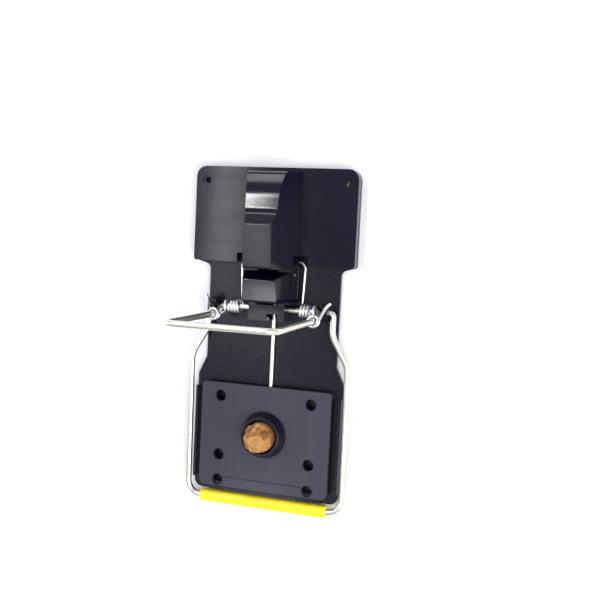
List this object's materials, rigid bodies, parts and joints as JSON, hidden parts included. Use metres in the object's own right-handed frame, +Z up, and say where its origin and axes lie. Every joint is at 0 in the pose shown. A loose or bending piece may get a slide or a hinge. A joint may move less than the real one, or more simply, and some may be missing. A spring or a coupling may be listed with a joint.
{
  "type": "snap rodent trap",
  "caption": "Sprung bar rodent trap on a black moulded base, with a wire setting lever in a yellow sleeve, a hinged treadle and a bait cup.",
  "frame": {"origin": "middle of the footprint, on the flat underside the trap stands on", "axes": "+Z up, -Y the front where the yellow grip lies, +Y the rear deck, X across"},
  "size_m": [0.0846, 0.1706, 0.0724],
  "materials": {
    "black_base": "semi-gloss moulded plastic",
    "black_gloss": "glossy moulded plastic",
    "grey_black_plate": "satin moulded plastic",
    "zinc_wire": "zinc plated drawn wire",
    "spring_steel": "plated spring wire",
    "screw_steel": "plated steel",
    "yellow_sleeve": "soft glossy sleeve",
    "bait_paste": "dry crumbly paste"
  },
  "bodies": {
    "base": {"base_tray": "black_base", "rear_deck": "black_gloss", "ridge_housing": "black_gloss", "housing_screw_front": "screw_steel", "housing_screw_rear": "screw_steel", "latch_pin": "screw_steel", "latch_spring": "spring_steel", "main_spring": "spring_steel", "treadle_pin_right": "screw_steel", "treadle_pin_left": "screw_steel"},
    "kill_bar": {"kill_bar": "zinc_wire", "sear_cam": "black_base", "spring_leg_right": "spring_steel", "spring_leg_left": "spring_steel"},
    "setting_lever": {"setting_lever": "zinc_wire", "lever_grip": "yellow_sleeve"},
    "treadle": {"treadle_plate": "grey_black_plate", "trigger_arm": "zinc_wire", "bait_cup": "black_base", "bait": "bait_paste"},
    "latch": {"latch_lever": "black_gloss"}
  },
  "joints": [
    {"name": "kill_bar_hinge", "type": "hinge", "parent": "base", "child": "kill_bar", "pos_m": [0, 0.0163, 0.0064], "axis": [1, 0, 0], "range_deg": [-8, 72]},
    {"name": "setting_lever_hinge", "type": "hinge", "parent": "base", "child": "setting_lever", "pos_m": [0, 0.0163, 0.0064], "axis": [-1, 0, 0], "range_deg": [0, 90]},
    {"name": "treadle_hinge", "type": "hinge", "parent": "base", "child": "treadle", "pos_m": [0, -0.0252, 0.0039], "axis": [1, 0, 0], "range_deg": [0, 2.5], "stiffness_Nm_per_rad": 0.1, "springref_deg": -4.01},
    {"name": "latch_hinge", "type": "hinge", "parent": "base", "child": "latch", "pos_m": [0, 0.0335, 0.009], "axis": [1, 0, 0], "range_deg": [-15, 0], "deforming": ["latch_spring"]}
  ],
  "couplings": [
    {"joint": "latch_hinge", "follows": "treadle_hinge", "ratio": -6}
  ]
}
